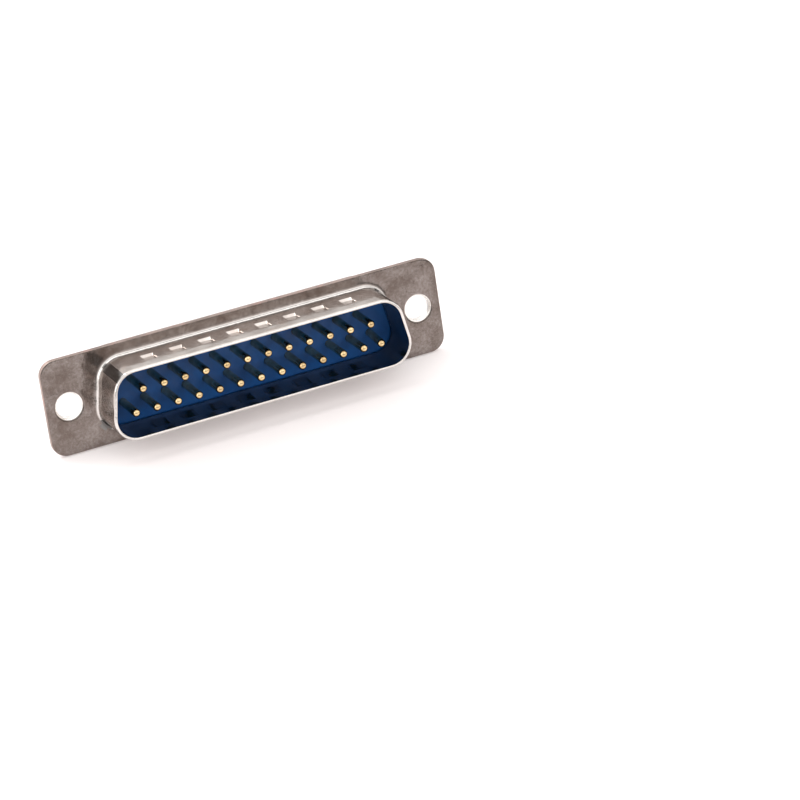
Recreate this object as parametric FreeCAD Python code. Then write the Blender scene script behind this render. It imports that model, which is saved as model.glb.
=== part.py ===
import FreeCAD, Part
import math
import os

# A plug connector with 25 contacts, two drawn D-shaped shells and solder cups.
# Lengths are in millimetres and angles in degrees.
# +X runs along the flange, -Y is the mating side, and +Z points to the narrow side of the D.
# The origin is the centre of the flange's front face, on the line of the two mounting holes.
# Every D-shaped section is the mating opening's outline, grown or shrunk all round.

# Contact field: the wide row lies on the wide side of the D, the narrow row above it.
wide_row_count = 13
narrow_row_count = wide_row_count - 1
contact_pitch = 2.77
row_spacing = 2.84

# Front shell: one sheet, drawn into a flange, a D-shaped mating shell and two collars.
front_sheet = 0.40
contact_end_margin = 2.86
contact_side_margin = 2.76
shell_corner_radius = 2.6
shell_side_angle = 10.0
shell_depth = 5.92
shell_bend_radius = 0.6
shell_back_radius = 0.62
rim_bevel = 0.12

# Dimples: a row of wedges pressed into each long side of the mating shell, deepest near the rear.
dimple_count = 8
dimple_end_margin = 6.18
dimple_rim_gap = 1.87
dimple_length = 2.1
dimple_width = 1.7
dimple_depth = 0.3
dimple_rear_slope = 0.35

# Rear shell: one sheet, drawn into a flange and a wider D with a long in-turned shoulder.
rear_sheet = 0.30
rear_shell_depth = 4.2
rear_bend_radius = 0.5
rear_shoulder_width = 1.1
rear_shoulder_length = 1.5

# Flange, the same outline on both sheets, placed by the rear shell and the holes.
hole_shell_gap = 3.04
hole_end_gap = 3.0
flange_side_gap = 1.095
flange_corner_radius = 2.0

# Mounting holes: collars drawn from the front sheet, wide at the entry, with a lip rolled over behind.
hole_diameter = 3.05
hole_entry_bevel = 0.45
collar_wall = 0.35
collar_clearance = 0.05
collar_lip_width = 0.35
collar_lip_height = 0.4

# Insulators: two mouldings that meet inside the rear shell.
insulator_clearance = 0.05
insulator_seat = 0.03
insulator_face_depth = 0.1
front_insulator_body = 2.2
tail_growth = -0.2
tail_length = 1.8
end_key_width = 0.35
end_key_offset = 0.3
end_key_height = 2.3

# Contacts: pins with a shoulder, a barrel and a cup that is cut open on its outer side.
pin_diameter = 1.02
pin_setback = 0.84
pin_tip_bevel = 0.25
pin_clearance = 0.02
shoulder_diameter = 2.2
shoulder_length = 0.8
barrel_diameter = 1.85
barrel_clearance = 0.04
cup_reach = 3.3
cup_bore_diameter = 1.2
cup_bore_depth = 2.4
cup_mouth_length = 2.0
cup_mouth_ramp = 0.5
cup_mouth_level = 0.1

# The last contact of the wide row was knocked sideways: its pin leans towards the middle.
bent_contact = wide_row_count
bent_pin_lean = 5.0
bent_pin_root = 0.3
bent_pin_overlap = 0.1

# Flats that stand for a round: in a quarter turn of a sheet's bend, and round a contact.
bend_flats = 2
contact_sides = 10

# Sizes of the mating opening, and how far other outlines grow from it.
opening_width = (wide_row_count - 1) * contact_pitch + 2 * contact_end_margin
opening_height = row_spacing + 2 * contact_side_margin
body_growth = shell_back_radius + insulator_seat
room_growth = body_growth + insulator_clearance
rear_growth = room_growth + rear_sheet

# Places of the holes and the flange's size.
hole_spacing = opening_width + 2 * rear_growth + 2 * hole_shell_gap
flange_length = hole_spacing + 2 * hole_end_gap
flange_height = opening_height + 2 * rear_growth + 2 * flange_side_gap

# Places along Y, from the pins' tips to the cups' ends.
pin_tip = pin_setback - shell_depth
insulator_split = front_sheet + front_insulator_body
pocket_floor = insulator_split - shoulder_length
rear_flange_back = front_sheet + rear_sheet
rear_shell_end = rear_flange_back + rear_shell_depth
room_end = rear_shell_end - rear_sheet
tail_end = rear_shell_end + tail_length
cup_end = tail_end + cup_reach


def point(x, y, z):
    return FreeCAD.Vector(x, y, z)


def corner_arc(centre_x, centre_z, radius, start, end, y):
    """Arc of a corner in the plane at y, from one angle to another."""
    places = []
    for angle in (start, (start + end) / 2, end):
        turn = math.radians(angle)
        places.append(point(centre_x + radius * math.cos(turn), y, centre_z + radius * math.sin(turn)))
    return Part.Arc(*places).toShape()


def closed_outline(arcs):
    """Joins a ring of corner arcs with straight lines into one closed wire."""
    edges = []
    for arc, following in zip(arcs, arcs[1:] + arcs[:1]):
        edges.append(arc)
        edges.append(Part.makeLine(arc.lastVertex().Point, following.firstVertex().Point))
    return Part.Wire(edges)


def dee_outline(growth, y):
    """The D in the plane at y, wide side down, grown all round from the mating opening."""
    radius = shell_corner_radius + growth
    side = shell_side_angle
    low_x = opening_width / 2 - shell_corner_radius
    high_z = opening_height / 2 - shell_corner_radius
    high_x = low_x - 2 * high_z * math.tan(math.radians(side))
    return closed_outline([
        corner_arc(low_x, -high_z, radius, -90, side, y),
        corner_arc(high_x, high_z, radius, side, 90, y),
        corner_arc(-high_x, high_z, radius, 90, 180 - side, y),
        corner_arc(-low_x, -high_z, radius, 180 - side, 270, y),
    ])


def dee_stack(sections):
    """Solid through D outlines, given from front to rear as (growth, y) pairs."""
    return Part.makeLoft([dee_outline(growth, y) for growth, y in sections], True, True)


def dee_prism(growth, front, back):
    return dee_stack([(growth, front), (growth, back)])


def round_corner(centre_growth, centre_y, width, length, start, end):
    """The (growth, y) corners of a round or oval bend, made of short flats between two angles."""
    corners = []
    for step in range(bend_flats + 1):
        turn = math.radians(start + (end - start) * step / bend_flats)
        corners.append((centre_growth + width * math.cos(turn), centre_y + length * math.sin(turn)))
    return corners


def bend(centre_growth, centre_y, radius, start, end):
    return round_corner(centre_growth, centre_y, radius, radius, start, end)


def rear_shoulder(depth):
    """Oval shoulder of the rear shell, or of what lies inside it at some depth below its surface."""
    centre_growth = rear_growth - rear_shoulder_width
    centre_y = rear_shell_end - rear_shoulder_length
    width = rear_shoulder_width - depth
    length = rear_shoulder_length - depth
    return round_corner(centre_growth, centre_y, width, length, 0, 90)


def flange_plate(front, back):
    """Flat plate with the flange's rounded outline, between two planes along Y."""
    x = flange_length / 2 - flange_corner_radius
    z = flange_height / 2 - flange_corner_radius
    outline = closed_outline([
        corner_arc(x, -z, flange_corner_radius, -90, 0, front),
        corner_arc(x, z, flange_corner_radius, 0, 90, front),
        corner_arc(-x, z, flange_corner_radius, 90, 180, front),
        corner_arc(-x, -z, flange_corner_radius, 180, 270, front),
    ])
    return Part.Face(outline).extrude(point(0, back - front, 0))


def hole_tool(radius, front, back, x):
    """Round cutter along Y for one mounting hole."""
    return Part.makeCylinder(radius, back - front, point(x, front, 0), point(0, 1, 0))


def hole_places():
    return [-hole_spacing / 2, hole_spacing / 2]


def contact_places():
    """The x, z place of every contact: the wide row from -X to +X, then the narrow row."""
    places = []
    for count, z in ((wide_row_count, -row_spacing / 2), (narrow_row_count, row_spacing / 2)):
        for index in range(count):
            places.append(((index - (count - 1) / 2) * contact_pitch, z))
    return places


def wedge(x, surface_z, extra):
    """Wedge of one dimple: level with the surface in front, deepest at the foot of its rear wall."""
    front = dimple_rim_gap - shell_depth
    rear = front + dimple_length + extra
    left = x - dimple_width / 2 - extra
    deepest_z = surface_z - math.copysign(dimple_depth, surface_z)
    corners = [
        point(left, front, surface_z),
        point(left, rear, surface_z),
        point(left, rear - dimple_rear_slope, deepest_z),
    ]
    side = Part.Face(Part.makePolygon(corners + corners[:1]))
    return side.extrude(point(dimple_width + 2 * extra, 0, 0))


def press_dimples(shell):
    """Presses the dimples in from outside: each leaves a pocket outside and a bump inside."""
    bumps = []
    pockets = []
    pitch = (opening_width - 2 * dimple_end_margin) / (dimple_count - 1)
    for side in (-1, 1):
        inside = side * opening_height / 2
        for index in range(dimple_count):
            x = (index - (dimple_count - 1) / 2) * pitch
            bumps.append(wedge(x, inside, front_sheet / 2))
            pockets.append(wedge(x, inside + side * front_sheet, 0))
    return shell.fuse(bumps).cut(Part.makeCompound(pockets))


def collar(x):
    """Collar through one mounting hole, with its lip rolled over behind."""
    bore = hole_diameter / 2
    outside = bore + collar_wall
    lip_end = rear_flange_back + collar_lip_height
    profile = [
        (bore, 0),
        (outside, 0),
        (outside, rear_flange_back),
        (outside + collar_lip_width, rear_flange_back),
        (bore, lip_end),
    ]
    corners = [point(radius, y, 0) for radius, y in profile]
    face = Part.Face(Part.makePolygon(corners + corners[:1]))
    solid = face.revolve(point(0, 0, 0), point(0, 1, 0), 360)
    solid.translate(point(x, 0, 0))
    return solid


def hole_entry(x):
    """Cone that widens a mounting hole towards the flange's front."""
    bore = hole_diameter / 2
    return Part.makeCone(bore + hole_entry_bevel, bore, hole_entry_bevel, point(x, 0, 0), point(0, 1, 0))


def make_front_shell():
    rim_end = rim_bevel - shell_depth
    bend_growth = front_sheet + shell_bend_radius
    back_y = front_sheet - shell_back_radius
    outside = [(front_sheet - rim_bevel, -shell_depth), (front_sheet, rim_end)]
    outside += bend(bend_growth, -shell_bend_radius, shell_bend_radius, 180, 90)
    inside = [(rim_bevel, -shell_depth), (0, rim_end)]
    inside += bend(shell_back_radius, back_y, shell_back_radius, 180, 90)
    shell = flange_plate(0, front_sheet).fuse(dee_stack(outside)).cut(dee_stack(inside))
    shell = press_dimples(shell)
    collars = []
    for x in hole_places():
        shell = shell.cut(hole_tool(hole_diameter / 2 + collar_wall, 0, front_sheet, x))
        collars.append(collar(x))
    entries = [hole_entry(x) for x in hole_places()]
    return shell.fuse(collars).cut(entries).removeSplitter()


def make_rear_shell():
    bend_growth = rear_growth + rear_bend_radius
    bend_y = rear_flange_back + rear_bend_radius
    outside = bend(bend_growth, bend_y, rear_bend_radius, 270, 180) + rear_shoulder(0)
    room = bend(bend_growth, bend_y, rear_bend_radius + rear_sheet, 270, 180) + rear_shoulder(rear_sheet)
    mouth = dee_prism(tail_growth + insulator_clearance, room_end, rear_shell_end)
    shell = flange_plate(front_sheet, rear_flange_back).fuse(dee_stack(outside))
    shell = shell.cut([dee_stack(room), mouth])
    for x in hole_places():
        hole_radius = hole_diameter / 2 + collar_wall + collar_clearance
        shell = shell.cut(hole_tool(hole_radius, front_sheet, rear_flange_back, x))
    return shell.removeSplitter()


def make_front_insulator():
    nose = dee_prism(-insulator_clearance, insulator_face_depth, front_sheet)
    moulding = nose.fuse(dee_prism(body_growth, front_sheet, insulator_split))
    tools = []
    for place in contact_places():
        pin_hole = pin_diameter + 2 * pin_clearance
        pocket = shoulder_diameter + 2 * barrel_clearance
        tools.append(bar([(pin_hole, insulator_face_depth), (pin_hole, pocket_floor)], place))
        tools.append(bar([(pocket, pocket_floor), (pocket, insulator_split)], place))
    return moulding.cut(tools).removeSplitter()


def make_rear_insulator():
    shoulder = rear_shoulder(rear_sheet + insulator_clearance)
    body = [(body_growth, insulator_split), shoulder[0], shoulder[-1]]
    tail = dee_prism(tail_growth, shoulder[-1][1], tail_end)
    moulding = dee_stack(body).fuse([tail, end_keys()])
    tools = []
    for place in contact_places():
        hole = barrel_diameter + 2 * barrel_clearance
        tools.append(bar([(hole, insulator_split), (hole, tail_end)], place))
    return moulding.cut(tools).removeSplitter()


def end_keys():
    """A key on each end of the tail, as one slab of a wider D that runs through the tail."""
    wide = dee_prism(tail_growth + end_key_width, rear_shell_end, tail_end)
    corner = point(-opening_width, rear_shell_end, end_key_offset)
    return wide.common(Part.makeBox(2 * opening_width, tail_length, end_key_height, corner))


def bar(sections, place=(0, 0)):
    """Many-sided bar along Y through (diameter, y) sections, at an x, z place."""
    rings = []
    for diameter, y in sections:
        corners = []
        for index in range(contact_sides):
            turn = 2 * math.pi * index / contact_sides
            x = place[0] + diameter / 2 * math.cos(turn)
            corners.append(point(x, y, place[1] + diameter / 2 * math.sin(turn)))
        rings.append(Part.makePolygon(corners + corners[:1]))
    return Part.makeLoft(rings, True, True)


def pin(end):
    """Pin with a bevelled tip, back to a plane along Y."""
    blank = bar([(pin_diameter, pin_tip), (pin_diameter, end)])
    middle = (pin_tip + end) / 2
    return blank.makeChamfer(pin_tip_bevel, [edge for edge in blank.Edges if edge.BoundBox.YMax < middle])


def bent_pin():
    """Pin that leans towards the middle from a root just in front of the insulator."""
    root = insulator_face_depth - bent_pin_root
    leaning = pin(root + bent_pin_overlap)
    leaning.rotate(point(0, root, 0), point(0, 0, 1), -bent_pin_lean)
    return leaning.fuse(bar([(pin_diameter, root), (pin_diameter, pocket_floor)]))


def make_contact(front, side):
    """Contact with the given pin: its cup is open upwards for side 1 and downwards for side -1."""
    shoulder = bar([(shoulder_diameter, pocket_floor), (shoulder_diameter, insulator_split)])
    barrel = bar([(barrel_diameter, insulator_split), (barrel_diameter, cup_end)])
    bore = bar([(cup_bore_diameter, cup_end - cup_bore_depth), (cup_bore_diameter, cup_end)])
    contact = front.fuse([shoulder, barrel]).removeSplitter()
    return contact.cut([bore, mouth_tool(side)])


def mouth_tool(side):
    """Block that opens a cup on one side: level over the cup, ramped up where the mouth starts."""
    above = barrel_diameter
    mouth_start = cup_end - cup_mouth_length
    corners = [
        point(-above, cup_end, side * cup_mouth_level),
        point(-above, mouth_start + cup_mouth_ramp, side * cup_mouth_level),
        point(-above, mouth_start, side * above),
        point(-above, cup_end, side * above),
    ]
    return Part.Face(Part.makePolygon(corners + corners[:1])).extrude(point(2 * above, 0, 0))


def export(shape, name):
    """Writes one sub-part as a solid."""
    solid = shape.Solids[0]
    solid.exportStep("parts/" + name + ".step")
    print(name, "volume", round(solid.Volume, 3), "valid", solid.isValid(), "solids", len(shape.Solids))


def main():
    os.makedirs("parts", exist_ok=True)
    export(make_front_shell(), "front_shell")
    export(make_rear_shell(), "rear_shell")
    export(make_front_insulator(), "front_insulator")
    export(make_rear_insulator(), "rear_insulator")
    for number, (x, z) in enumerate(contact_places(), start=1):
        front = bent_pin() if number == bent_contact else pin(pocket_floor)
        contact = make_contact(front, math.copysign(1, z))
        contact.translate(point(x, 0, z))
        export(contact, "contact_" + str(number).zfill(2))


main()
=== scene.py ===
"""Looks of a plug connector with 25 contacts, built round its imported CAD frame.

Lengths are in millimetres until a mesh is finished, which then is in metres like the frame.
+X runs along the flange, -Y is the mating side and +Z points to the narrow side of the D.
"""

import logging
import math
from dataclasses import dataclass, replace
from enum import Enum
from typing import Iterator, Sequence

import bmesh
import bpy
from bmesh.types import BMEdge, BMesh, BMFace, BMVert
from bpy.types import Material, Node, NodeSocket, NodeTree, Object
from mathutils import Matrix, Vector


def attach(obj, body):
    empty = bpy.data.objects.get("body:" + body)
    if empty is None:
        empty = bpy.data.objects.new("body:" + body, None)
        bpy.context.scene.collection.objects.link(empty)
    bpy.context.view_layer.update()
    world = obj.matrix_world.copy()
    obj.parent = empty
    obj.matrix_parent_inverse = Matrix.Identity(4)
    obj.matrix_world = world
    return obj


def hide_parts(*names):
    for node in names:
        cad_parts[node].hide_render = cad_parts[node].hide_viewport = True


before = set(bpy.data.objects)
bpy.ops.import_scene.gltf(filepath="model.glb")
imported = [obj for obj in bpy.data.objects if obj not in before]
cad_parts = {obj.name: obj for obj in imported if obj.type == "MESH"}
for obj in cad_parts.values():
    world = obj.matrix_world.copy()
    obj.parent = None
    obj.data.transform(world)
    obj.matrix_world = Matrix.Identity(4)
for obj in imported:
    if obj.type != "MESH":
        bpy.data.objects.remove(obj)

LOG = logging.getLogger("connector")
MM = 0.001
NEAR = 1e-4
TURN = 2 * math.pi
FLAT = 0.99
"""A face whose normal has at least this much along an axis lies square to it."""
Triple = tuple[float, float, float]
Colour = Triple
Noise = Triple
"""A noise's features a metre, octaves, and share of each finer octave."""
Stops = tuple[tuple[float, float], ...]
"""Places, rising, each with its value."""


class Side(Enum):
    """Which way a row of cups or a long wall of the shell faces."""

    UP = 1
    DOWN = -1


class Slot(Enum):
    """The record's material slots."""

    SHELL = "shell_plating"
    INSULATOR = "insulator_blue"
    CONTACT = "contact_plating"


def soften(
    bm: BMesh,
    geom: list[BMVert] | list[BMEdge],
    offset: float,
    segments: int,
    affect: str = "EDGES",
    clamp: bool = False,
) -> list[BMFace]:
    """Rounds edges or the corners of a chain.

    Args:
        bm: The mesh.
        geom: The edges or vertices to round.
        offset: How far the rounding reaches.
        segments: Facets in the rounding.
        affect: "EDGES" or "VERTICES".
        clamp: Whether roundings stop where they meet.

    Returns:
        The rounded faces.
    """
    return bmesh.ops.bevel(
        bm,
        geom=geom,
        offset=offset,
        offset_type="OFFSET",
        segments=segments,
        profile=0.5,
        affect=affect,
        material=-1,
        clamp_overlap=clamp,
    )["faces"]


@dataclass(frozen=True)
class Knee:
    """A corner of a profile: its place outwards and along Y, and how far it is rounded."""

    out: float
    y: float
    rounding: float = 0.0


@dataclass(frozen=True)
class Profile:
    """An open chain of knees that is carried round an outline or a hole."""

    knees: tuple[Knee, ...]
    segments: int = 4

    def lay(self, bm: BMesh, origin: Vector, outwards: Vector) -> list[BMEdge]:
        """Lays the chain in the plane of Y and one outward direction, with its knees rounded.

        Args:
            bm: The mesh that gets the chain.
            origin: The point from which "out" is measured.
            outwards: Unit vector in the XZ plane.

        Returns:
            The chain's edges.
        """
        before = set(bm.edges)
        verts = [
            bm.verts.new(origin + outwards * knee.out + Vector((0, knee.y, 0)))
            for knee in self.knees
        ]
        for start, end in zip(verts, verts[1:]):
            bm.edges.new((start, end))
        for knee, vert in zip(self.knees, verts):
            if knee.rounding:
                soften(bm, [vert], knee.rounding, self.segments, "VERTICES")
        return [edge for edge in bm.edges if edge not in before]


@dataclass(frozen=True)
class Corner:
    """Round corner of an outline: its centre and the angles between which it turns."""

    x: float
    z: float
    start: float
    end: float

    @property
    def centre(self) -> Vector:
        """The corner's centre in the plane of the outline."""
        return Vector((self.x, 0, self.z))


@dataclass(frozen=True)
class Outline:
    """Closed ring of round corners joined by straight sides."""

    corners: tuple[Corner, ...]
    radius: float

    def sweep(self, bm: BMesh, profile: Profile, steps: int) -> None:
        """Carries a profile once round the outline.

        Args:
            bm: The mesh that gets the surface.
            profile: The chain, with "out" measured from the outline.
            steps: Facets in each corner.
        """
        first = self.corners[0]
        start = math.radians(first.start)
        outwards = Vector((math.cos(start), 0, math.sin(start)))
        chain = profile.lay(bm, first.centre + outwards * self.radius, outwards)
        for corner, following in zip(self.corners, self.corners[1:] + self.corners[:1]):
            turned = bmesh.ops.spin(
                bm,
                geom=chain + list({vert for edge in chain for vert in edge.verts}),
                cent=corner.centre,
                axis=(0, -1, 0),
                angle=math.radians(corner.end - corner.start),
                steps=steps,
                use_merge=False,
                use_duplicate=False,
            )
            last = [part for part in turned["geom_last"] if isinstance(part, BMEdge)]
            side = bmesh.ops.extrude_edge_only(bm, edges=last)["geom"]
            moved = [part for part in side if isinstance(part, BMVert)]
            bmesh.ops.translate(bm, verts=moved, vec=following.centre - corner.centre)
            chain = [part for part in side if isinstance(part, BMEdge)]
        bmesh.ops.remove_doubles(bm, verts=bm.verts[:], dist=NEAR)


@dataclass(frozen=True)
class Dee:
    """The D of the mating opening, wide side down."""

    width: float = 38.96
    height: float = 8.36
    radius: float = 2.6
    slant: float = 10.0

    @property
    def low_x(self) -> float:
        """Half the distance between the wide side's corner centres."""
        return self.width / 2 - self.radius

    @property
    def high_z(self) -> float:
        """Half the distance between the two sides' corner centres."""
        return self.height / 2 - self.radius

    @property
    def high_x(self) -> float:
        """Half the distance between the narrow side's corner centres."""
        return self.low_x - 2 * self.high_z * math.tan(math.radians(self.slant))

    def holds(self, spot: Vector) -> bool:
        """Whether a point is held by the D.

        Args:
            spot: The point.

        Returns:
            True on the D's surface and inside it.
        """
        slant = math.radians(self.slant)
        along = (abs(spot.x) - self.low_x) * math.cos(slant)
        upwards = (spot.z + self.high_z) * math.sin(slant)
        return along + upwards < self.radius + NEAR and abs(spot.z) < self.height / 2 + NEAR

    def outline(self) -> Outline:
        """The D as a ring of four corners."""
        low, high, z, slant = self.low_x, self.high_x, self.high_z, self.slant
        return Outline(
            (
                Corner(low, -z, -90, slant),
                Corner(high, z, slant, 90),
                Corner(-high, z, 90, 180 - slant),
                Corner(-low, -z, 180 - slant, 270),
            ),
            self.radius,
        )


@dataclass(frozen=True)
class Flange:
    """The flange's rounded rectangle and its two mounting holes."""

    length: float = 53.04
    height: float = 12.55
    radius: float = 2.0
    hole_spacing: float = 47.04
    shear: float = 0.05
    outer_round: float = 0.09
    inner_round: float = 0.05
    margin: float = 0.25
    corner_steps: int = 10
    hole_steps: int = 48

    def outline(self) -> Outline:
        """The rectangle as a ring of four corners."""
        x = self.length / 2 - self.radius
        z = self.height / 2 - self.radius
        return Outline(
            (
                Corner(x, -z, -90, 0),
                Corner(x, z, 0, 90),
                Corner(-x, z, 90, 180),
                Corner(-x, -z, 180, 270),
            ),
            self.radius,
        )

    def sweep_edge(
        self, bm: BMesh, front: tuple[float, float], back: tuple[float, float]
    ) -> None:
        """Sweeps the sheared edge of one sheet.

        Args:
            bm: The sheet's mesh.
            front: Place along Y of the front face, and how far its edge is rounded.
            back: The same of the back face.
        """
        knees = (
            Knee(-self.margin, front[0]),
            Knee(0.0, *front),
            Knee(0.0, *back),
            Knee(-self.margin, back[0]),
        )
        self.outline().sweep(bm, Profile(knees, segments=3), self.corner_steps)

    def on_edge(self, spot: Vector) -> bool:
        """Whether a point lies on the sheared edge round the flange.

        Args:
            spot: The point.

        Returns:
            True on the edge.
        """
        x = max(abs(spot.x) - self.length / 2 + self.radius, 0.0)
        z = max(abs(spot.z) - self.height / 2 + self.radius, 0.0)
        return math.hypot(x, z) > self.radius - self.shear

    def holes(self) -> list[Vector]:
        """Centres of the two mounting holes."""
        return [Vector((side * self.hole_spacing / 2, 0, 0)) for side in (-1, 1)]


@dataclass(frozen=True)
class ContactField:
    """Places of the 25 contacts."""

    wide_count: int = 13
    pitch: float = 2.77
    row_spacing: float = 2.84

    def places(self) -> Iterator[tuple[int, Vector, Side]]:
        """Number, place and open side of every cup: the wide row first, each from -X to +X.

        Yields:
            The contact's number from 1, its centre line's place, and the side its cup opens to.
        """
        number = 1
        rows = ((self.wide_count, Side.DOWN), (self.wide_count - 1, Side.UP))
        for count, side in rows:
            for index in range(count):
                x = (index - (count - 1) / 2) * self.pitch
                yield number, Vector((x, 0, side.value * self.row_spacing / 2)), side
                number += 1


def spin_hole(bm: BMesh, profile: Profile, centre: Vector, steps: int) -> None:
    """Spins a profile a full turn about a line along Y.

    Args:
        bm: The mesh that gets the surface.
        profile: The chain, with "out" measured from the line.
        centre: A point of the line.
        steps: Facets in the turn.
    """
    chain = profile.lay(bm, centre, Vector((1, 0, 0)))
    bmesh.ops.spin(
        bm,
        geom=chain + list({vert for edge in chain for vert in edge.verts}),
        cent=centre,
        axis=(0, 1, 0),
        angle=TURN,
        steps=steps,
        use_merge=True,
        use_duplicate=False,
    )


def cap(bm: BMesh, y: float) -> None:
    """Fills the flat between all open edges in one plane, leaving the holes open.

    Args:
        bm: The mesh.
        y: The plane's place along Y.
    """
    edges = [
        edge
        for edge in bm.edges
        if edge.is_boundary and all(abs(vert.co.y - y) < NEAR for vert in edge.verts)
    ]
    bmesh.ops.triangle_fill(
        bm, use_beauty=True, use_dissolve=False, edges=edges, normal=(0, -1, 0)
    )


def cut(bm: BMesh, faces: list[BMFace], point: Vector, normal: Vector) -> None:
    """Cuts some faces of a mesh along a plane."""
    parts = {part for face in faces for part in (*face.verts, *face.edges)}
    bmesh.ops.bisect_plane(
        bm, geom=faces + list(parts), dist=NEAR, plane_co=point, plane_no=normal
    )


def make_object(bm: BMesh, name: str) -> Object:
    """Makes a mesh in millimetres a linked object in metres, and frees it."""
    bm.transform(Matrix.Scale(MM, 4))
    mesh = bpy.data.meshes.new(name)
    bm.to_mesh(mesh)
    bm.free()
    obj = bpy.data.objects.new(name, mesh)
    bpy.context.scene.collection.objects.link(obj)
    return obj


def finish_mesh(bm: BMesh, name: str, sharp: float = 38.0) -> Object:
    """Closes a mesh's seams, turns its faces outwards and makes it an object in metres.

    Args:
        bm: The mesh in millimetres, freed here.
        name: The object's name.
        sharp: Edges that turn by more than this many degrees stay sharp.

    Returns:
        The object, linked and at the origin.
    """
    bmesh.ops.remove_doubles(bm, verts=bm.verts[:], dist=NEAR)
    bmesh.ops.dissolve_degenerate(bm, dist=NEAR, edges=bm.edges[:])
    bmesh.ops.recalc_face_normals(bm, faces=bm.faces[:])
    for face in bm.faces:
        face.smooth = True
    for edge in bm.edges:
        closed = len(edge.link_faces) == 2
        edge.smooth = closed and edge.calc_face_angle(0.0) < math.radians(sharp)
    open_edges = sum(1 for edge in bm.edges if len(edge.link_faces) != 2)
    obj = make_object(bm, name)
    weighted = obj.modifiers.new("weighted_normals", "WEIGHTED_NORMAL")
    weighted.mode = "FACE_AREA"
    weighted.keep_sharp = True
    LOG.info("%s: %d faces, %d open edges", name, len(obj.data.polygons), open_edges)
    return obj


def place(obj: Object, node: str, materials: Sequence[Material]) -> None:
    """Dresses a piece, lets it ride on the root and stand for its CAD node.

    Args:
        obj: The piece.
        node: The CAD node's name.
        materials: The piece's materials, in the order of its faces' numbers.
    """
    for material in materials:
        obj.data.materials.append(material)
    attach(obj, "root")
    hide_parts(node)


@dataclass(frozen=True)
class Cloud:
    """A cloudy pattern: its noise, the range of it that counts, and what the range becomes."""

    noise: Noise
    low: float
    high: float
    start: float = 0.0
    end: float = 1.0


class Graph:
    """Builds a node tree."""

    def __init__(self, tree: NodeTree) -> None:
        """Starts on an emptied tree."""
        self.tree = tree
        tree.nodes.clear()

    def add(self, kind: str) -> Node:
        """Adds a node of one kind."""
        return self.tree.nodes.new(kind)

    def link(self, source: NodeSocket, target: NodeSocket) -> None:
        """Joins two sockets."""
        self.tree.links.new(source, target)

    def join(self, kind: str, *sources: NodeSocket) -> NodeSocket:
        """Adds a node that takes some values.

        Args:
            kind: The kind of node.
            sources: What goes into its first inputs, in order.

        Returns:
            Its first output.
        """
        node = self.add(kind)
        for source, target in zip(sources, node.inputs):
            self.link(source, target)
        return node.outputs[0]

    def maths(self, operation: str, first: NodeSocket, second: NodeSocket) -> NodeSocket:
        """One sum on two values."""
        value = self.join("ShaderNodeMath", first, second)
        value.node.operation = operation
        return value

    def span(self, value: NodeSocket, *limits: float, smooth: bool = True) -> NodeSocket:
        """Maps a value's range to another one, clamped.

        Args:
            value: The value.
            limits: The ends of its range, then those of the new one, 0 and 1 if left out.
            smooth: Whether the ends are eased.

        Returns:
            The new value's socket.
        """
        node = self.add("ShaderNodeMapRange")
        node.interpolation_type = "SMOOTHSTEP" if smooth else "LINEAR"
        for name, limit in zip(("From Min", "From Max", "To Min", "To Max"), limits):
            node.inputs[name].default_value = limit
        self.link(value, node.inputs["Value"])
        return node.outputs["Result"]

    def ramp(self, value: NodeSocket, stops: Sequence[tuple[float, float]]) -> NodeSocket:
        """Turns a value into the levels that some stops give it.

        Args:
            value: A value from 0 to 1.
            stops: Places from 0 to 1, rising, each with its level.

        Returns:
            The level's socket.
        """
        level = self.join("ShaderNodeValToRGB", value)
        elements = level.node.color_ramp.elements
        elements.remove(elements[0])
        elements[0].position = stops[0][0]
        for index, (share, grey) in enumerate(stops):
            element = elements[0] if index == 0 else elements.new(share)
            element.color = (grey, grey, grey, 1.0)
        return level


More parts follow.
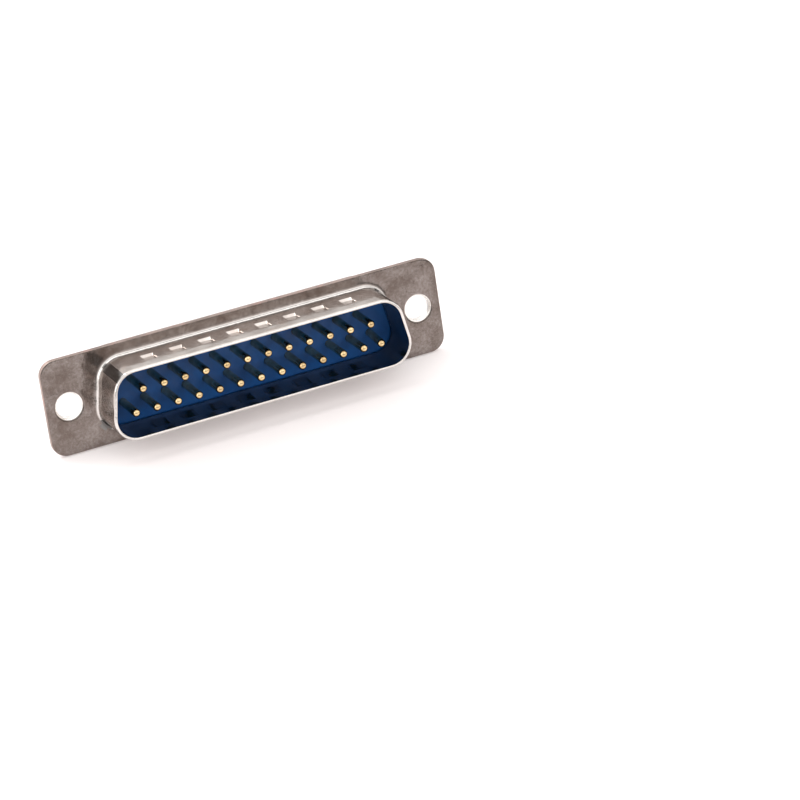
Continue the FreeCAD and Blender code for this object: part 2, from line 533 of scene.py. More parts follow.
class Coat(Graph):
    """Builds the node tree of one material."""

    def __init__(self, name: str) -> None:
        """Starts with the surface's shader and the object's coordinates.

        Args:
            name: The material's name.
        """
        self.material = bpy.data.materials.new(name)
        self.material.use_nodes = True
        super().__init__(self.material.node_tree)
        self.output = self.add("ShaderNodeOutputMaterial")
        self.shader = self.add("ShaderNodeBsdfPrincipled")
        self.link(self.shader.outputs["BSDF"], self.output.inputs["Surface"])
        self.place = self.add("ShaderNodeTexCoord").outputs["Object"]

    def dress(self, colour: NodeSocket, roughness: NodeSocket, metallic: float) -> None:
        """Gives the surface its colour, its roughness and its share of metal."""
        self.link(colour, self.shader.inputs["Base Color"])
        self.link(roughness, self.shader.inputs["Roughness"])
        self.shader.inputs["Metallic"].default_value = metallic

    def noise(self, kind: Noise, stretch: Triple | None = None) -> NodeSocket:
        """A noise value from 0 to 1.

        Args:
            kind: Features a metre, octaves, and share of each finer octave.
            stretch: A further scale along each axis, if they differ.

        Returns:
            The noise's value socket.
        """
        spot = self.place
        if stretch:
            spot = self.join("ShaderNodeMapping", spot)
            spot.node.inputs["Scale"].default_value = stretch
        node = self.add("ShaderNodeTexNoise")
        for name, value in zip(("Scale", "Detail", "Roughness"), kind):
            node.inputs[name].default_value = value
        self.link(spot, node.inputs["Vector"])
        return node.outputs["Fac"]

    def cloud(self, cloud: Cloud) -> NodeSocket:
        """The value of a cloudy pattern."""
        noise = self.noise(cloud.noise)
        return self.span(noise, cloud.low, cloud.high, cloud.start, cloud.end)

    def mixed(
        self, share: NodeSocket, first: Colour | NodeSocket, second: Colour | NodeSocket
    ) -> NodeSocket:
        """Mixes two colours.

        Args:
            share: How much of the second there is.
            first: A colour or another node's output.
            second: The same.

        Returns:
            The mixed colour's socket.
        """
        node = self.add("ShaderNodeMix")
        node.data_type = "RGBA"
        self.link(share, node.inputs["Factor"])
        sockets = [part for part in node.inputs if part.type == "RGBA"]
        for socket, colour in zip(sockets, (first, second)):
            if isinstance(colour, tuple):
                socket.default_value = (*colour, 1.0)
            else:
                self.link(colour, socket)
        return next(part for part in node.outputs if part.type == "RGBA")

    def course(self, stops: Stops) -> NodeSocket:
        """A value that changes along Y.

        Args:
            stops: Places along Y in millimetres, rising, each with its value.

        Returns:
            The value's socket.
        """
        parts = self.add("ShaderNodeSeparateXYZ")
        self.link(self.place, parts.inputs["Vector"])
        start, end = stops[0][0], stops[-1][0]
        share = self.span(parts.outputs["Y"], start * MM, end * MM, smooth=False)
        return self.ramp(share, [((y - start) / (end - start), value) for y, value in stops])

    def bump(self, height: NodeSocket, strength: float, distance: float) -> None:
        """Adds a bump to the surface.

        Args:
            height: The bump's pattern, from 0 to 1.
            strength: How much of it shows.
            distance: Its full height in metres.
        """
        node = self.add("ShaderNodeBump")
        node.inputs["Strength"].default_value = strength
        node.inputs["Distance"].default_value = distance
        self.link(height, node.inputs["Height"])
        self.link(node.outputs["Normal"], self.shader.inputs["Normal"])


@dataclass(frozen=True)
class SheetMetal:
    """Bright plated sheet with mottled stains, fine rolling marks, painted shade on the flange and
    painted highlights.
    """

    name: str
    pale: Colour = (0.65, 0.60, 0.57)
    deep: Colour = (0.46, 0.41, 0.38)
    blush: Colour = (0.56, 0.47, 0.42)
    bright: Colour = (0.80, 0.78, 0.76)
    painted_highlights: Stops = ()
    flat: tuple[Colour, Colour] | None = None
    flange_shade_course: Stops = ((-0.25, 0.0), (-0.02, 1.0))
    polish: float = 0.05
    haze: float = 0.30
    wave: float = 0.00012
    clouds: Cloud = Cloud((190, 6, 0.62), 0.38, 0.62)
    stains: Cloud = Cloud((430, 4, 0.6), 0.52, 0.70, 0.0, 0.75)
    patches: Cloud = Cloud((310, 8, 0.74), 0.34, 0.66)
    specks: Cloud = Cloud((3000, 3, 0.65), 0.40, 0.62, 0.0, 0.55)
    grain: Cloud = Cloud((60000, 2, 0.6), 0.42, 0.58)
    waves: Noise = (260, 5, 0.55)

    def build(self) -> Material:
        """Builds the finish.

        Returns:
            Its material.
        """
        graph = Coat(self.name)
        colour = graph.mixed(graph.cloud(self.clouds), self.pale, self.deep)
        colour = graph.mixed(graph.cloud(self.stains), colour, self.blush)
        # Painted shade: the flat flange is painted about half as bright as the shell wall; the
        # patches and specks in it are mottling of the plating.
        if self.flat:
            flange_shade_colour = graph.mixed(graph.cloud(self.patches), *self.flat)
            flange_shade_colour = graph.mixed(graph.cloud(self.specks), flange_shade_colour, self.flat[1])
            colour = graph.mixed(graph.course(self.flange_shade_course), colour, flange_shade_colour)
        # Painted highlights: bands along Y are painted near-white, on the rim and on the bend of
        # the front sheet.
        if self.painted_highlights:
            colour = graph.mixed(graph.course(self.painted_highlights), colour, self.bright)
        roughness = graph.cloud(replace(self.grain, start=self.polish, end=self.haze))
        graph.dress(colour, roughness, metallic=1.0)
        graph.bump(graph.noise(self.waves), 1.0, self.wave)
        return graph.material


@dataclass(frozen=True)
class Moulding:
    """Blue glass-filled moulding, slightly cloudy."""

    name: str
    pale: Colour = (0.045, 0.200, 0.440)
    deep: Colour = (0.030, 0.150, 0.360)
    specular: float = 0.35
    clouds: Cloud = Cloud((260, 5, 0.6), 0.35, 0.65)
    satin: Cloud = Cloud((900, 3, 0.5), 0.3, 0.7, 0.34, 0.5)
    pores: Noise = (5200, 2, 0.5)
    pore_strength: float = 0.25
    pore_depth: float = 0.00002

    def build(self) -> Material:
        """Builds the finish.

        Returns:
            Its material.
        """
        graph = Coat(self.name)
        colour = graph.mixed(graph.cloud(self.clouds), self.pale, self.deep)
        graph.dress(colour, graph.cloud(self.satin), metallic=0.0)
        graph.shader.inputs["Specular IOR Level"].default_value = self.specular
        graph.bump(graph.noise(self.pores), self.pore_strength, self.pore_depth)
        return graph.material


@dataclass(frozen=True)
class Plating:
    """Polished plating of a turned contact, with faint turning marks."""

    name: str
    pale: Colour
    deep: Colour
    polish: float
    haze: float
    clouds: Cloud = Cloud((700, 4, 0.6), 0.35, 0.65)
    gloss: Cloud = Cloud((1400, 3, 0.5), 0.3, 0.7)
    marks: Triple = (300, 7000, 300)
    mark_noise: Noise = (1.0, 2, 0.5)
    mark_strength: float = 0.2
    mark_depth: float = 0.00001

    def build(self) -> Material:
        """Builds the finish.

        Returns:
            Its material.
        """
        graph = Coat(self.name)
        colour = graph.mixed(graph.cloud(self.clouds), self.pale, self.deep)
        roughness = graph.cloud(replace(self.gloss, start=self.polish, end=self.haze))
        graph.dress(colour, roughness, metallic=1.0)
        marks = graph.noise(self.mark_noise, self.marks)
        graph.bump(marks, self.mark_strength, self.mark_depth)
        return graph.material


FRONT_METAL = SheetMetal(
    "front_sheet_plating",
    # Painted shade: the flange's colours, darker than the wall's.
    flat=((0.29, 0.257, 0.242), (0.145, 0.115, 0.101)),
    # Painted highlights on the rim and on the bend where the mating shell meets the flange.
    painted_highlights=(
        (-5.92, 0.7), (-5.8, 0.4), (-5.7, 0.0), (-0.6, 0.0),
        (-0.5, 0.7), (-0.15, 0.7), (-0.03, 0.0),
    ),
)
REAR_METAL = SheetMetal(
    "rear_sheet_plating",
    (0.64, 0.62, 0.60),
    (0.50, 0.475, 0.45),
    (0.57, 0.53, 0.49),
    haze=0.2,
    wave=0.00006,
)
# Painted shade: the inside of the mating shell is its own plating painted dark.
SHADED_INNER_WALL = SheetMetal(
    "inner_wall_painted_shade", (0.23, 0.225, 0.22), (0.17, 0.165, 0.16), (0.20, 0.195, 0.19), haze=0.2
)
SHEARED_EDGE = SheetMetal(
    "sheared_edge", (0.40, 0.31, 0.28), (0.24, 0.19, 0.17), (0.46, 0.29, 0.26),
    polish=0.2, haze=0.45,
)
# Painted highlight: the collars' entries are painted near-white so they read as a light ring.
PAINTED_HIGHLIGHT_COLLAR = SheetMetal(
    "collar_painted_highlight", (0.90, 0.88, 0.86), (0.80, 0.78, 0.75), (0.84, 0.80, 0.77),
    polish=0.2, haze=0.4,
)
# Painted shade: the front moulding is the rear one's blue painted darker for the shade inside the
# mating shell.
SHADED_FRONT_BLUE = Moulding("front_moulding_painted_shade", pale=(0.004, 0.085, 0.32), deep=(0.003, 0.062, 0.24))
REAR_BLUE = Moulding("rear_moulding")
GOLD = Plating("gold_plating", (0.82, 0.62, 0.35), (0.55, 0.39, 0.20), 0.03, 0.08)
TIN = Plating("tin_plating", (0.72, 0.71, 0.69), (0.56, 0.55, 0.53), 0.10, 0.22)
# Painted shade: the bore inside each cup is the tin painted dark.
SHADED_CUP_BORE = Plating("cup_bore_painted_shade", (0.16, 0.15, 0.14), (0.07, 0.065, 0.06), 0.2, 0.35)


@dataclass(frozen=True)
class Dimples:
    """Row of wedges pressed into both long walls of the mating shell, deepest at the rear."""

    count: int = 8
    pitch: float = 3.8
    front: float = -4.05
    rear: float = -1.95
    width: float = 1.7
    depth: float = 0.3
    rear_slope: float = 0.35
    side_slope: float = 0.1
    lead: float = 0.04
    spread: float = 0.2
    softness: float = 0.07
    slack: float = 0.5

    def centres(self) -> list[float]:
        """Places of the dimples along X."""
        return [(index - (self.count - 1) / 2) * self.pitch for index in range(self.count)]

    def press(self, bm: BMesh, wall_z: float, extra: float) -> None:
        """Presses the row into one flat wall, towards the middle of the shell.

        Args:
            bm: The shell's mesh.
            wall_z: Height of the wall's surface.
            extra: How much wider and longer the marks are on this surface.
        """
        half = self.width / 2 + extra
        rear = self.rear + extra
        for x in self.centres():
            for edge_x in (x - half, x + half):
                cut(bm, self.wall(bm, wall_z), Vector((edge_x, 0, wall_z)), Vector((1, 0, 0)))
        for y in (self.front, rear):
            cut(bm, self.wall(bm, wall_z), Vector((0, y, wall_z)), Vector((0, 1, 0)))
        inwards = -math.copysign(1.0, wall_z)
        middle_y = (self.front + rear) / 2
        for x in self.centres():
            found = [
                face
                for face in self.wall(bm, wall_z)
                if abs(face.calc_center_median().x - x) < half
                and abs(face.calc_center_median().y - middle_y) < self.slack
            ]
            bmesh.ops.inset_individual(
                bm, faces=found, thickness=self.side_slope, depth=0.0, use_even_offset=True
            )
            floor = found[0]
            deep = [vert for vert in floor.verts if vert.co.y > middle_y]
            shallow = [vert for vert in floor.verts if vert.co.y < middle_y]
            back = self.side_slope - self.rear_slope
            bmesh.ops.translate(bm, verts=deep, vec=(0, back, inwards * self.depth))
            bmesh.ops.translate(bm, verts=shallow, vec=(0, 0, inwards * self.lead))
            creases = {
                edge for side in floor.edges for face in side.link_faces for edge in face.edges
            }
            soften(bm, list(creases), self.softness, segments=2, clamp=True)

    @staticmethod
    def wall(bm: BMesh, wall_z: float) -> list[BMFace]:
        """The faces that lie flat in one long wall's surface."""
        return [
            face
            for face in bm.faces
            if all(abs(vert.co.z - wall_z) < NEAR for vert in face.verts)
            and abs(face.normal.z) > FLAT
        ]


@dataclass(frozen=True)
class FrontShell:
    """The front sheet: flange, D-shaped mating shell, dimples and two rolled collars."""

    dee: Dee = Dee()
    flange: Flange = Flange()
    dimples: Dimples = Dimples()
    sheet: float = 0.40
    depth: float = 5.92
    bend: float = 0.6
    back_round: float = 0.62
    rim: float = 0.27
    rim_inside: float = 0.1
    rear_sheet: float = 0.30
    entry: float = 0.46
    entry_margin: float = 0.1
    highlight_band: float = 0.22
    highlight_band_tilt: float = 0.98
    bore: float = 1.525
    collar: float = 0.35
    lip: float = 0.35
    lip_height: float = 0.4
    lip_flat: float = 0.2
    lip_round: float = 0.1
    lip_foot: float = 0.08
    lip_tuck: float = 0.05

    def build(self) -> Object:
        """Builds the sheet.

        Returns:
            One closed piece.
        """
        bm = bmesh.new()
        flange = self.flange
        self.dee.outline().sweep(bm, self.wall(), steps=12)
        flange.sweep_edge(bm, (0.0, flange.outer_round), (self.sheet, flange.inner_round))
        for centre in flange.holes():
            spin_hole(bm, self.collar_profile(), centre, flange.hole_steps)
        cap(bm, 0.0)
        cap(bm, self.sheet)
        bmesh.ops.recalc_face_normals(bm, faces=bm.faces[:])
        half = self.dee.height / 2
        for side in Side:
            self.dimples.press(bm, side.value * (half + self.sheet), 0.0)
            self.dimples.press(bm, side.value * half, self.dimples.spread)
        for face in bm.faces:
            face.material_index = self.finish_of(face)
        return finish_mesh(bm, "front_shell_form")

    def finish_of(self, face: BMFace) -> int:
        """Which finish a face has.

        Args:
            face: A face of the sheet.

        Returns:
            0 for the plated sheet, 1 for its sheared edge, 2 for the collars' entries, painted
            near-white as a highlight, and 3 for the inside of the mating shell, painted dark as
            shade.
        """
        spot = face.calc_center_median()
        # Painted shade: faces inside the D get the dark inner-wall finish.
        if self.rim_inside - self.depth < spot.y < self.sheet and self.dee.holds(spot):
            return 3
        for centre in self.flange.holes():
            out = spot - centre
            # Painted highlight: the rounded entry round each hole.
            highlight_band = math.hypot(out.x, out.z) < self.bore + self.highlight_band
            if highlight_band and abs(face.normal.y) < self.highlight_band_tilt:
                return 2
        return int(self.flange.on_edge(spot))

    def wall(self) -> Profile:
        """Mating shell, from the flange's front over the rim to the flange's back."""
        far = self.sheet + self.bend + self.flange.margin
        return Profile(
            (
                Knee(far, 0.0),
                Knee(self.sheet, 0.0, self.bend),
                Knee(self.sheet, -self.depth, self.rim),
                Knee(0.0, -self.depth, self.rim_inside),
                Knee(0.0, self.sheet, self.back_round),
                Knee(far, self.sheet),
            )
        )

    def collar_profile(self) -> Profile:
        """Collar through a mounting hole, with its lip rolled over behind the rear sheet."""
        outside = self.bore + self.collar
        back = self.sheet + self.rear_sheet
        end = back + self.lip_height
        rim = outside + self.lip
        return Profile(
            (
                Knee(self.bore + self.entry + self.entry_margin, 0.0),
                Knee(self.bore, 0.0, self.entry),
                Knee(self.bore, end, self.lip_round),
                Knee(self.bore + self.lip_flat, end, self.lip_round),
                Knee(rim, back + self.lip_foot, self.lip_foot),
                Knee(rim - self.lip_tuck, back),
                Knee(outside, back),
                Knee(outside, self.sheet),
            )
        )


@dataclass(frozen=True)
class RearShell:
    """The rear sheet: flange and deeper D with an in-turned rear edge."""

    dee: Dee = Dee()
    flange: Flange = Flange()
    growth: float = 1.0
    sheet: float = 0.30
    front: float = 0.40
    end: float = 4.9
    bend: float = 0.5
    shoulder_width: float = 0.58
    shoulder_length: float = 0.8
    shoulder_round: float = 0.48
    crown_round: float = 0.45
    inside_step: float = 0.15
    inside_round: float = 0.35
    mouth: float = -0.15
    mouth_round: float = 0.06
    hole: float = 1.925
    hole_margin: float = 0.15
    hole_rounds: tuple[float, float] = (0.05, 0.08)

    def build(self) -> Object:
        """Builds the sheet.

        Returns:
            One closed piece.
        """
        bm = bmesh.new()
        flange = self.flange
        back = self.front + self.sheet
        self.dee.outline().sweep(bm, self.wall(), steps=14)
        flange.sweep_edge(bm, (self.front, flange.inner_round), (back, flange.outer_round))
        knees = (
            Knee(self.hole + self.hole_margin, self.front),
            Knee(self.hole, self.front, self.hole_rounds[0]),
            Knee(self.hole, back, self.hole_rounds[1]),
            Knee(self.hole + self.hole_margin, back),
        )
        for centre in flange.holes():
            spin_hole(bm, Profile(knees, segments=2), centre, flange.hole_steps)
        cap(bm, self.front)
        cap(bm, back)
        for face in bm.faces:
            face.material_index = int(flange.on_edge(face.calc_center_median()))
        return finish_mesh(bm, "rear_shell_form")

    def wall(self) -> Profile:
        """Rear shell, from the flange's back over the shoulder and mouth to the flange's front."""
        back = self.front + self.sheet
        far = self.growth + self.bend + self.flange.margin
        neck = self.end - self.shoulder_length
        crown = self.growth - self.shoulder_width
        inside_end = self.end - self.sheet
        inner = self.growth - self.sheet
        return Profile(
            (
                Knee(far, back),
                Knee(self.growth, back, self.bend),
                Knee(self.growth, neck, self.shoulder_round),
                Knee(crown, self.end, self.crown_round),
                Knee(self.mouth, self.end, self.mouth_round),
                Knee(self.mouth, inside_end, self.mouth_round),
                Knee(crown - self.inside_step, inside_end, self.inside_round),
                Knee(inner, neck - self.inside_step, self.inside_round),
                Knee(inner, self.front, self.bend + self.sheet),
                Knee(far, self.front),
            ),
            segments=6,
        )


@dataclass(frozen=True)
class FrontInsulator:
    """Blue moulding at the bottom of the mating shell, held behind the front sheet."""

    dee: Dee = Dee()
    contacts: ContactField = ContactField()
    face: float = 0.1
    face_round: float = 0.02
    seat: float = 0.4
    seat_round: float = 0.04
    split: float = 2.6
    split_round: float = 0.06
    floor: float = 1.8
    nose: float = -0.05
    body: float = 0.65
    land: float = 0.3
    pin_hole: float = 0.53
    pocket: float = 1.14

    def build(self) -> Object:
        """Builds the moulding.

        Returns:
            One closed piece.
        """
        bm = bmesh.new()
        outside = (
            Knee(self.nose - self.land, self.face),
            Knee(self.nose, self.face, self.face_round),
            Knee(self.nose, self.seat),
            Knee(self.body, self.seat, self.seat_round),
            Knee(self.body, self.split, self.split_round),
            Knee(self.body - self.land, self.split),
        )
        self.dee.outline().sweep(bm, Profile(outside, segments=3), steps=8)
        hole = (
            Knee(self.pin_hole, self.face),
            Knee(self.pin_hole, self.floor),
            Knee(self.pocket, self.floor),
            Knee(self.pocket, self.split),
        )
        for _, centre, _ in self.contacts.places():
            spin_hole(bm, Profile(hole), centre, steps=20)
        cap(bm, self.face)
        cap(bm, self.split)
        return finish_mesh(bm, "front_insulator_form")


@dataclass(frozen=True)
class RearInsulator:
    """Blue moulding in the rear shell, with a tail that stands out behind it and two end keys."""

    dee: Dee = Dee()
    contacts: ContactField = ContactField()
    split: float = 2.6
    split_round: float = 0.06
    room_end: float = 4.55
    shell_end: float = 4.9
    end: float = 6.7
    body: float = 0.65
    land: float = 0.3
    shoulder_width: float = 0.4
    shoulder_length: float = 0.6
    shoulder_round: float = 0.35
    crown_round: float = 0.3
    tail: float = -0.2
    tail_round: float = 0.14
    tail_land: float = 0.4
    hole: float = 0.965
    hole_bevel: float = 0.05
    key_width: float = 0.35
    key_low: float = 0.3
    key_height: float = 2.2
    key_root: float = 0.5
    key_round: float = 0.08

    def build(self) -> Object:
        """Builds the moulding with its keys.

        Returns:
            The piece.
        """
        bm = bmesh.new()
        outside = (
            Knee(self.body - self.land, self.split),
            Knee(self.body, self.split, self.split_round),
            Knee(self.body, self.room_end - self.shoulder_length, self.shoulder_round),
            Knee(self.body - self.shoulder_width, self.room_end, self.crown_round),
            Knee(self.tail, self.room_end),
            Knee(self.tail, self.end, self.tail_round),
            Knee(self.tail - self.tail_land, self.end),
        )
        self.dee.outline().sweep(bm, Profile(outside), steps=10)
        hole = (
            Knee(self.hole, self.split),
            Knee(self.hole, self.end - self.hole_bevel),
            Knee(self.hole + self.hole_bevel, self.end),
        )
        for _, centre, _ in self.contacts.places():
            spin_hole(bm, Profile(hole), centre, steps=28)
        cap(bm, self.split)
        cap(bm, self.end)
        for side in (-1, 1):
            self.add_key(bm, side)
        return finish_mesh(bm, "rear_insulator_form")

    def add_key(self, bm: BMesh, side: int) -> None:
        """Adds the key on one end of the tail, with its root sunk into the moulding.

        Args:
            bm: The moulding's mesh.
            side: -1 for the end at -X and 1 for the end at +X.
        """
        slant = math.radians(self.dee.slant)
        middle_z = self.key_low + self.key_height / 2
        surface = self.dee.low_x + (self.dee.radius + self.tail) / math.cos(slant)
        surface -= (middle_z + self.dee.high_z) * math.tan(slant)
        x = surface + (self.key_width - self.key_root) / 2 / math.cos(slant)
        size = (self.key_width + self.key_root, self.end - self.shell_end, self.key_height)
        cube = bmesh.ops.create_cube(bm, size=1.0)["verts"]
        bmesh.ops.scale(bm, verts=cube, vec=size)
        edges = list({edge for vert in cube for edge in vert.link_edges})
        rounded = soften(bm, edges, self.key_round, segments=2)
        verts = list({vert for face in rounded for vert in face.verts})
        bmesh.ops.transform(bm, verts=verts, matrix=Matrix.Rotation(-side * slant, 4, "Y"))
        middle_y = (self.shell_end + self.end) / 2
        bmesh.ops.translate(bm, verts=verts, vec=(side * x, middle_y, middle_z))


@dataclass(frozen=True)
class Contact:
    """Turned contact: pin in front, shoulder and barrel inside, and an open solder cup behind."""

    number: int
    centre: Vector
    side: Side
    lean: float = 0.0
    tip: float = -5.08
    pin: float = 0.51
    tip_round: float = 0.46
    floor: float = 1.8
    split: float = 2.6
    shoulder: float = 1.1
    barrel: float = 0.925
    end: float = 10.0
    edge_round: float = 0.05
    bore: float = 0.6
    bore_slack: float = 0.03
    bore_end: float = 7.6
    mouth: float = 8.0
    mouth_guard: float = 0.1
    ramp: float = 0.5
    level: float = 0.1
    root: float = -0.2
    root_front: float = 0.3
    root_back: float = 0.1
    steps: int = 28

    def build(self) -> Object:
        """Builds the contact.

        Returns:
            One closed piece.
        """
        bm = bmesh.new()
        spin_hole(bm, self.turned(), Vector((0, 0, 0)), self.steps)
        bmesh.ops.remove_doubles(bm, verts=bm.verts[:], dist=NEAR)
        bmesh.ops.recalc_face_normals(bm, faces=bm.faces[:])
        self.open_cup(bm)
        for face in bm.faces:
            face.material_index = self.finish_of(face)
        self.bend_pin(bm)
        if self.side is Side.DOWN:
            turn = Matrix.Rotation(math.pi, 3, "Y")
            bmesh.ops.rotate(bm, verts=bm.verts[:], cent=(0, 0, 0), matrix=turn)
        bmesh.ops.translate(bm, verts=bm.verts[:], vec=self.centre)
        return finish_mesh(bm, f"contact_{self.number:02d}_form")

    def turned(self) -> Profile:
        """The turned shape, from the pin's tip round the cup's mouth to the end of its bore."""
        guard = self.mouth - self.mouth_guard
        return Profile(
            (
                Knee(0.0, self.tip),
                Knee(self.pin, self.tip, self.tip_round),
                Knee(self.pin, self.root - self.root_front),
                Knee(self.pin, self.root + self.root_back),
                Knee(self.pin, self.floor),
                Knee(self.shoulder, self.floor, self.edge_round),
                Knee(self.shoulder, self.split, self.edge_round),
                Knee(self.barrel, self.split),
                Knee(self.barrel, guard),
                Knee(self.barrel, self.end, self.edge_round),
                Knee(self.bore, self.end, self.edge_round),
                Knee(self.bore, guard),
                Knee(self.bore, self.bore_end),
                Knee(0.0, self.bore_end),
            ),
            segments=6,
        )

    def finish_of(self, face: BMFace) -> int:
        """Which finish a face has.

        Args:
            face: A face of the contact, before it is put in its place.

        Returns:
            0 for the gilt pin, 1 for the tinned cup and 2 for its bore, painted dark as shade.
        """
        if face.calc_center_median().y < self.split:
            return 0
        widest = max(math.hypot(vert.co.x, vert.co.z) for vert in face.verts)
        return 2 if widest < self.bore + self.bore_slack else 1

    def open_cup(self, bm: BMesh) -> None:
        """Cuts the cup open above its level line, with a ramp where the opening starts.

        Args:
            bm: The contact's mesh, with its cup's opening towards +Z.
        """
        ramp_foot = Vector((0, self.mouth + self.ramp, self.level))
        ramp_normal = Vector((0, 2 * self.barrel - self.level, self.ramp)).normalized()
        level_foot = Vector((0, 0, self.level))
        guard = self.mouth - self.mouth_guard
        for foot, normal in ((level_foot, Vector((0, 0, 1))), (ramp_foot, ramp_normal)):
            cup = [face for face in bm.faces if face.calc_center_median().y > guard]
            cut(bm, cup, foot, normal)
        gone = [
            face
            for face in bm.faces
            if (face.calc_center_median() - level_foot).z > 0
            and (face.calc_center_median() - ramp_foot).dot(ramp_normal) > 0
        ]
        bmesh.ops.delete(bm, geom=gone, context="FACES")
        rim = [edge for edge in bm.edges if edge.is_boundary]
        bmesh.ops.contextual_create(bm, geom=rim)
        corners = {
            vert
            for edge in rim
            for vert in edge.verts
            if math.hypot(vert.co.z - ramp_foot.z, vert.co.y - ramp_foot.y) < 10 * NEAR
        }
        for side in (-1, 1):
            pair = [vert for vert in corners if vert.co.x * side > 0]
            bmesh.ops.connect_verts(bm, verts=pair)

    def bend_pin(self, bm: BMesh) -> None:
        """Leans the pin in front of its root, as a knock has left it."""
        if self.lean:
            front = [vert for vert in bm.verts if vert.co.y < self.root]
            turn = Matrix.Rotation(math.radians(-self.side.value * self.lean), 3, "Z")
            bmesh.ops.rotate(bm, verts=front, cent=(0, self.root, 0), matrix=turn)


@dataclass(frozen=True)
class Studio:
    """White sweep, soft lights and the camera of the photograph."""

    tilt: float = 14.6
    rest_edge: tuple[float, float] = (0.7, -6.275)
    floor_half: float = 900.0
    floor_glow: float = 0.22
    floor_tint: Colour = (1.0, 0.945, 0.945)
    floor_pale: Colour = (0.735, 0.705, 0.705)
    floor_deep: Colour = (0.715, 0.685, 0.685)
    floor_cloud: Cloud = Cloud((6, 2, 0.5), 0.3, 0.7)
    floor_roughness: float = 0.9
    floor_specular: float = 0.1
    bands: Stops = (
        (0.0, 0.46), (0.09, 0.49), (0.16, 0.66), (0.28, 0.74), (0.36, 1.0), (0.505, 1.0),
        (0.535, 0.05), (0.575, 0.05),
        (0.605, 1.0), (0.86, 1.0), (0.97, 0.18), (1.0, 0.17),
    )
    brightest: float = 1.75
    left_gain: float = 1.5
    right_gain: float = 0.8
    room_tint: Colour = (1.0, 0.985, 0.97)
    viewer_shade: float = 0.5
    viewer_cone: tuple[float, float] = (36.0, 10.0)
    key_place: Triple = (-260, 300, 560)
    key_size: float = 260.0
    key_watts: float = 2.0
    key_tint: Colour = (1.0, 0.985, 0.96)
    lens: float = 190.67
    sensor: float = 36.0
    clip: tuple[float, float] = (0.01, 10.0)
    eye: Triple = (-155.22, -469.33, 180.34)
    right: Triple = (0.90829661, -0.39455248, -0.1390166)
    back: Triple = (-0.32551236, -0.87533404, 0.35753605)

    def build(self) -> None:
        """Builds the floor, the lights, the world and the camera."""
        bpy.context.scene.view_settings.view_transform = "Standard"
        self.add_floor()
        self.add_world()
        self.add_key_light()
        self.add_camera()

    def add_floor(self) -> None:
        """Adds the pale floor that the connector rests on, tilted as the connector lies."""
        bm = bmesh.new()
        bmesh.ops.create_grid(bm, x_segments=1, y_segments=1, size=self.floor_half)
        tilt = Matrix.Rotation(math.radians(self.tilt), 4, "X")
        bm.transform(Matrix.Translation(Vector((0, *self.rest_edge))) @ tilt)
        floor = make_object(bm, "floor")
        floor.data.materials.append(self.floor_material())

    def floor_material(self) -> Material:
        """Pale matt board, clear when it is seen from below."""
        graph = Coat("floor_board")
        shade = graph.mixed(graph.cloud(self.floor_cloud), self.floor_pale, self.floor_deep)
        graph.link(shade, graph.shader.inputs["Base Color"])
        graph.shader.inputs["Roughness"].default_value = self.floor_roughness
        graph.shader.inputs["Specular IOR Level"].default_value = self.floor_specular
        rays = graph.add("ShaderNodeLightPath").outputs
        seen = graph.maths("MAXIMUM", rays["Is Camera Ray"], rays["Is Glossy Ray"])
        seen = graph.maths("MAXIMUM", seen, rays["Is Transmission Ray"])
        glow = graph.add("ShaderNodeEmission")
        glow.inputs["Color"].default_value = (*self.floor_tint, 1.0)
        graph.link(graph.span(seen, 0.0, 1.0, 0.0, self.floor_glow), glow.inputs["Strength"])
        lit = graph.shader.outputs["BSDF"]
        board = graph.join("ShaderNodeAddShader", lit, glow.outputs["Emission"])
        clear = graph.join("ShaderNodeBsdfTransparent")
        from_below = graph.add("ShaderNodeNewGeometry").outputs["Backfacing"]
        surface = graph.join("ShaderNodeMixShader", from_below, board, clear)
        graph.link(surface, graph.output.inputs["Surface"])
        return graph.material

    def add_world(self) -> None:
        """Makes a surround of long soft lights over the floor, with a dark room and viewer.

        The camera itself sees plain white.
        """
        world = bpy.data.worlds.new("surround")
        world.use_nodes = True
        graph = Graph(world.node_tree)
        direction = graph.add("ShaderNodeTexCoord").outputs["Generated"]

        def along(axis: Triple) -> NodeSocket:
            """How far the direction goes along an axis."""
            node = graph.add("ShaderNodeVectorMath")
            node.operation = "DOT_PRODUCT"
            node.inputs[1].default_value = axis
            graph.link(direction, node.inputs[0])
            return node.outputs["Value"]

        turn = math.radians(self.tilt)
        over = along((0.0, -math.sin(turn), math.cos(turn)))
        behind = along((0.0, math.cos(turn), math.sin(turn)))
        height = graph.maths("ARCTAN2", over, behind)
        height = graph.span(height, 0.0, math.pi, smooth=False)
        gains = (self.left_gain * self.brightest, self.right_gain * self.brightest)
        sideways = graph.span(along((1.0, 0.0, 0.0)), -1.0, 1.0, *gains, smooth=False)
        cone = (math.cos(math.radians(angle)) for angle in self.viewer_cone)
        viewer = graph.span(along(self.back), *cone, 1.0, self.viewer_shade, smooth=False)
        level = graph.maths("MULTIPLY", graph.ramp(height, self.bands), sideways)
        lit = graph.add("ShaderNodeBackground")
        lit.inputs["Color"].default_value = (*self.room_tint, 1.0)
        graph.link(graph.maths("MULTIPLY", level, viewer), lit.inputs["Strength"])
        seen = graph.add("ShaderNodeBackground")
        seen.inputs["Color"].default_value = (1.0, 1.0, 1.0, 1.0)
        seen.inputs["Strength"].default_value = 1.0
        to_camera = graph.add("ShaderNodeLightPath").outputs["Is Camera Ray"]
        shaders = (lit.outputs["Background"], seen.outputs["Background"])
        surface = graph.join("ShaderNodeMixShader", to_camera, *shaders)
        graph.link(surface, graph.add("ShaderNodeOutputWorld").inputs["Surface"])
        bpy.context.scene.world = world

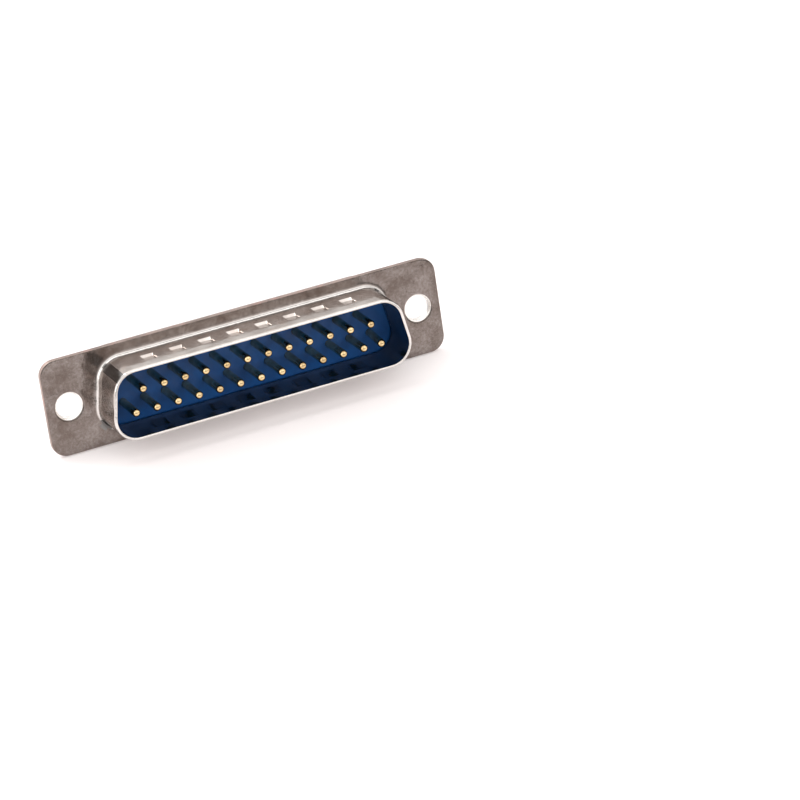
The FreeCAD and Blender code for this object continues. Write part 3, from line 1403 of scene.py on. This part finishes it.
    def add_key_light(self) -> None:
        """Adds a square soft light that faces the connector."""
        spot = Vector(self.key_place)
        data = bpy.data.lights.new("key", "AREA")
        data.shape = "SQUARE"
        data.size = self.key_size * MM
        data.energy = self.key_watts
        data.color = self.key_tint
        light = bpy.data.objects.new("key", data)
        light.rotation_mode = "QUATERNION"
        light.location = spot * MM
        light.rotation_quaternion = (-spot).to_track_quat("-Z", "Y")
        bpy.context.scene.collection.objects.link(light)

    def add_camera(self) -> None:
        """Adds the camera at the photograph's viewpoint."""
        data = bpy.data.cameras.new("camera")
        data.lens = self.lens
        data.sensor_width = self.sensor
        data.clip_start, data.clip_end = self.clip
        camera = bpy.data.objects.new("camera", data)
        right, back = Vector(self.right), Vector(self.back)
        turn = Matrix((right, back.cross(right), back)).transposed().to_4x4()
        camera.matrix_world = Matrix.Translation(Vector(self.eye) * MM) @ turn
        bpy.context.scene.collection.objects.link(camera)
        bpy.context.scene.camera = camera


@dataclass(frozen=True)
class Connector:
    """The whole plug connector: two shells, two insulators and 25 contacts."""

    contacts: ContactField = ContactField()
    bent: int = 13
    lean: float = 5.0

    def build(self) -> None:
        """Builds every piece over its CAD node."""
        sheared = SHEARED_EDGE.build()
        front = [FRONT_METAL.build(), sheared, PAINTED_HIGHLIGHT_COLLAR.build(), SHADED_INNER_WALL.build()]
        place(FrontShell().build(), "front_shell", front)
        place(RearShell().build(), "rear_shell", [REAR_METAL.build(), sheared])
        blue = SHADED_FRONT_BLUE.build()
        place(FrontInsulator().build(), "front_insulator", [blue])
        blue = REAR_BLUE.build()
        place(RearInsulator().build(), "rear_insulator", [blue])
        plating = [GOLD.build(), TIN.build(), SHADED_CUP_BORE.build()]
        for number, centre, side in self.contacts.places():
            lean = self.lean if number == self.bent else 0.0
            piece = Contact(number, centre, side, lean).build()
            place(piece, f"contact_{number:02d}", plating)


def main() -> None:
    """Builds the connector and its studio."""
    logging.basicConfig(level=logging.INFO, format="%(message)s")
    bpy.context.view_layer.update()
    Connector().build()
    Studio().build()


if __name__ == "__main__":
    main()
